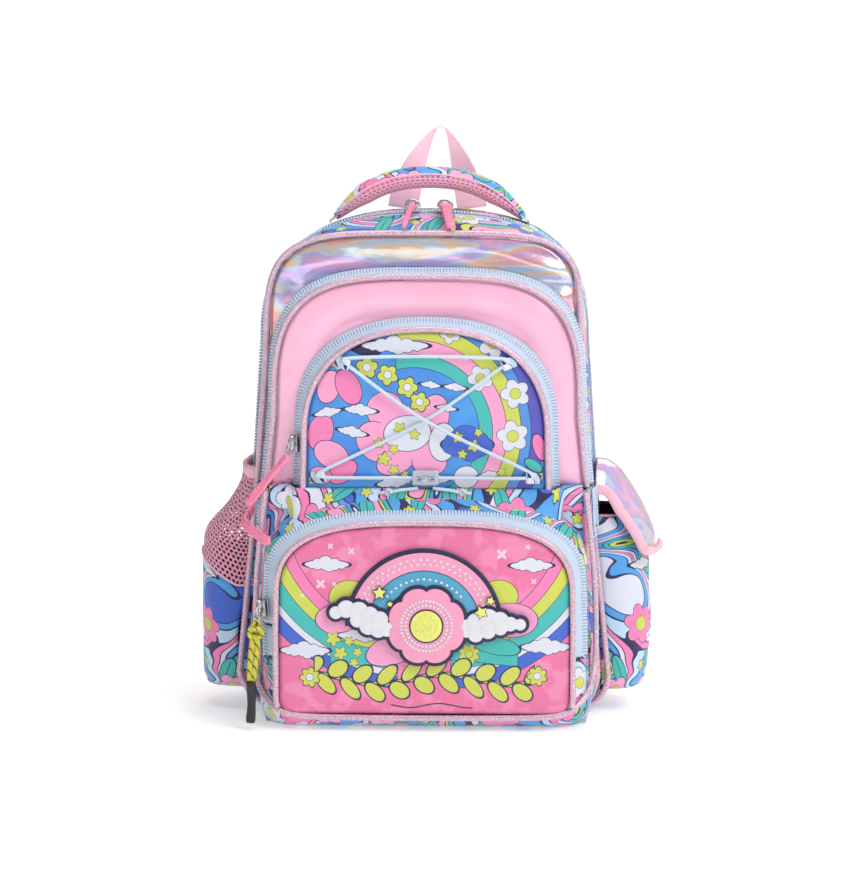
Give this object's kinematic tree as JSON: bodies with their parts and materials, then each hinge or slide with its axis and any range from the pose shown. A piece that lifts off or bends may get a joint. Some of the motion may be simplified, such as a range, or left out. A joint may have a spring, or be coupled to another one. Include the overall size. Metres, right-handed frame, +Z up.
{
  "type": "school backpack",
  "caption": "Child's school backpack with zipped compartments that fold open, bungee-laced panel, front pocket, side pockets, carry handle, hang loop and shoulder straps.",
  "frame": {"origin": "on the floor, at the middle of the bag's base; +Y 83 mm to the back panel's inner face", "axes": "+Z up, -Y to the front with the pocket and the laced panel, +X the wearer's right"},
  "size_m": [0.381, 0.2183, 0.4803],
  "materials": {
    "printed_fabric": "printed woven polyester",
    "holographic_laminate": "iridescent pink laminate on cloth",
    "pink_gloss_laminate": "glossy laminate on cloth",
    "pink_printed_panel": "printed coated cloth, satin",
    "zip_blue": "satin",
    "glitter_piping": "glitter vinyl",
    "pink_mesh": "knitted mesh",
    "pink_webbing": "ribbed webbing",
    "pink_rubber": "satin silicone",
    "slider_metal": "bright nickel",
    "elastic_cord": "braided elastic",
    "clear_plastic": "translucent",
    "yellow_cord": "braided cord",
    "patch_rubber": "moulded, matte",
    "lining": "plain lining",
    "board": "plain stiffener sheet",
    "pink_plastic": "moulded acetal"
  },
  "bodies": {
    "pack": {"back_board": "board", "back_pad": "pink_mesh", "back_panel": "pink_mesh", "base_board": "board", "body_piping_lower": "glitter_piping", "inner_sleeve": "lining", "left_pocket_base": "printed_fabric", "left_pocket_mesh": "pink_mesh", "lower_front_wall": "lining", "lower_shell": "printed_fabric", "pocket_base_gusset": "printed_fabric", "pocket_gusset": "printed_fabric", "pocket_zip": "zip_blue", "rear_gusset": "printed_fabric", "right_pocket": "printed_fabric", "second_lower_shell": "printed_fabric", "second_lower_wall": "lining", "second_piping_lower": "glitter_piping", "strap_anchor_left": "printed_fabric", "strap_anchor_right": "printed_fabric", "strap_yoke": "printed_fabric"},
    "front_shell": {"front_gusset": "printed_fabric", "front_panel": "holographic_laminate", "body_piping_upper": "glitter_piping"},
    "second_shell": {"second_zip": "zip_blue", "second_panel": "pink_gloss_laminate", "second_piping": "glitter_piping"},
    "bungee_shell": {"bungee_zip": "zip_blue", "bungee_panel": "printed_fabric", "bungee_piping": "glitter_piping", "cord_loop_low_left": "printed_fabric", "cord_loop_low_right": "printed_fabric", "cord_loop_top_left": "printed_fabric", "cord_loop_top_right": "printed_fabric", "bungee_cord": "elastic_cord"},
    "cord_lock": {"cord_lock": "clear_plastic", "cord_tail_left": "elastic_cord", "cord_tail_right": "elastic_cord"},
    "pocket_front": {"pocket_panel": "pink_printed_panel", "pocket_piping": "glitter_piping", "rainbow_patch": "patch_rubber"},
    "side_flap": {"side_flap": "holographic_laminate"},
    "carry_handle": {"carry_handle": "printed_fabric"},
    "hang_loop": {"hang_loop": "pink_webbing"},
    "strap_left": {"strap_pad_left": "pink_gloss_laminate", "ladder_lock_left": "pink_plastic", "strap_webbing_left": "pink_webbing"},
    "strap_right": {"strap_pad_right": "pink_gloss_laminate", "ladder_lock_right": "pink_plastic", "strap_webbing_right": "pink_webbing"},
    "main_slider_left": {"main_slider_left": "slider_metal"},
    "main_slider_right": {"main_slider_right": "slider_metal"},
    "main_pull_left": {"main_pull_left": "pink_rubber"},
    "main_pull_right": {"main_pull_right": "pink_rubber"},
    "bungee_slider": {"bungee_slider": "slider_metal"},
    "bungee_pull": {"bungee_pull": "pink_rubber"},
    "second_slider": {"second_slider": "slider_metal"},
    "second_pull": {"second_pull": "pink_rubber"},
    "pocket_slider": {"pocket_slider": "slider_metal"},
    "pocket_pull": {"pocket_pull": "yellow_cord"}
  },
  "joints": [
    {"name": "front_fold", "type": "hinge", "parent": "pack", "child": "front_shell", "pos_m": [0, -0.0625, 0.192], "axis": [1, 0, 0], "range_deg": [0, 30]},
    {"name": "second_fold", "type": "hinge", "parent": "front_shell", "child": "second_shell", "pos_m": [0, -0.0625, 0.192], "axis": [1, 0, 0], "range_deg": [0, 22]},
    {"name": "bungee_fold", "type": "hinge", "parent": "second_shell", "child": "bungee_shell", "pos_m": [0, -0.0625, 0.192], "axis": [1, 0, 0], "range_deg": [0, 18]},
    {"name": "pocket_fold", "type": "hinge", "parent": "pack", "child": "pocket_front", "pos_m": [0, -0.0984, 0.0112], "axis": [1, 0, 0], "range_deg": [0, 35]},
    {"name": "flap_lift", "type": "hinge", "parent": "pack", "child": "side_flap", "pos_m": [0.1475, 0.03, 0.207], "axis": [0, -1, 0], "range_deg": [0, 95]},
    {"name": "handle_swing", "type": "hinge", "parent": "pack", "child": "carry_handle", "pos_m": [0, 0.048, 0.406], "axis": [1, 0, 0], "range_deg": [-15, 20], "stiffness_Nm_per_rad": 0.4},
    {"name": "loop_swing", "type": "hinge", "parent": "pack", "child": "hang_loop", "pos_m": [0.003, 0.081, 0.4104], "axis": [1, 0, 0], "range_deg": [-60, 10], "stiffness_Nm_per_rad": 0.03},
    {"name": "strap_left_swing", "type": "hinge", "parent": "pack", "child": "strap_left", "pos_m": [-0.045, 0.098, 0.3915], "axis": [1, 0, 0], "range_deg": [0, 50]},
    {"name": "strap_right_swing", "type": "hinge", "parent": "pack", "child": "strap_right", "pos_m": [0.045, 0.098, 0.3915], "axis": [1, 0, 0], "range_deg": [0, 50]},
    {"name": "main_slider_left_slide", "type": "slide", "parent": "front_shell", "child": "main_slider_left", "axis": [-1, 0, 0], "range_m": [0, 0.06]},
    {"name": "main_slider_right_slide", "type": "slide", "parent": "front_shell", "child": "main_slider_right", "axis": [1, 0, 0], "range_m": [0, 0.06]},
    {"name": "main_pull_left_flip", "type": "hinge", "parent": "main_slider_left", "child": "main_pull_left", "pos_m": [-0.0135, 0.0165, 0.4184], "axis": [-1, 0, 0], "range_deg": [0, 110]},
    {"name": "main_pull_right_flip", "type": "hinge", "parent": "main_slider_right", "child": "main_pull_right", "pos_m": [0.0135, 0.0165, 0.4184], "axis": [-1, 0, 0], "range_deg": [0, 110]},
    {"name": "bungee_slider_slide", "type": "slide", "parent": "bungee_shell", "child": "bungee_slider", "axis": [0, 0, 1], "range_m": [0, 0.03]},
    {"name": "bungee_pull_flip", "type": "hinge", "parent": "bungee_slider", "child": "bungee_pull", "pos_m": [-0.1125, -0.06, 0.2205], "axis": [0, 1, 0], "range_deg": [0, 80]},
    {"name": "second_slider_slide", "type": "slide", "parent": "pack", "child": "second_slider", "axis": [0.045, 0, 0.999], "range_m": [-0.023, 0]},
    {"name": "second_pull_flip", "type": "hinge", "parent": "second_slider", "child": "second_pull", "pos_m": [-0.143, -0.0385, 0.173], "axis": [0, 1, 0], "range_deg": [0, 45]},
    {"name": "pocket_slider_slide", "type": "slide", "parent": "pack", "child": "pocket_slider", "axis": [0, 0, 1], "range_m": [0, 0.02]},
    {"name": "pocket_pull_swing", "type": "hinge", "parent": "pocket_slider", "child": "pocket_pull", "pos_m": [-0.136, -0.096, 0.089], "axis": [-1, 0, 0], "range_deg": [-10, 45]},
    {"name": "cord_lock_slide", "type": "slide", "parent": "bungee_shell", "child": "cord_lock", "axis": [1, 0, 0], "range_m": [-0.012, 0.012]}
  ]
}
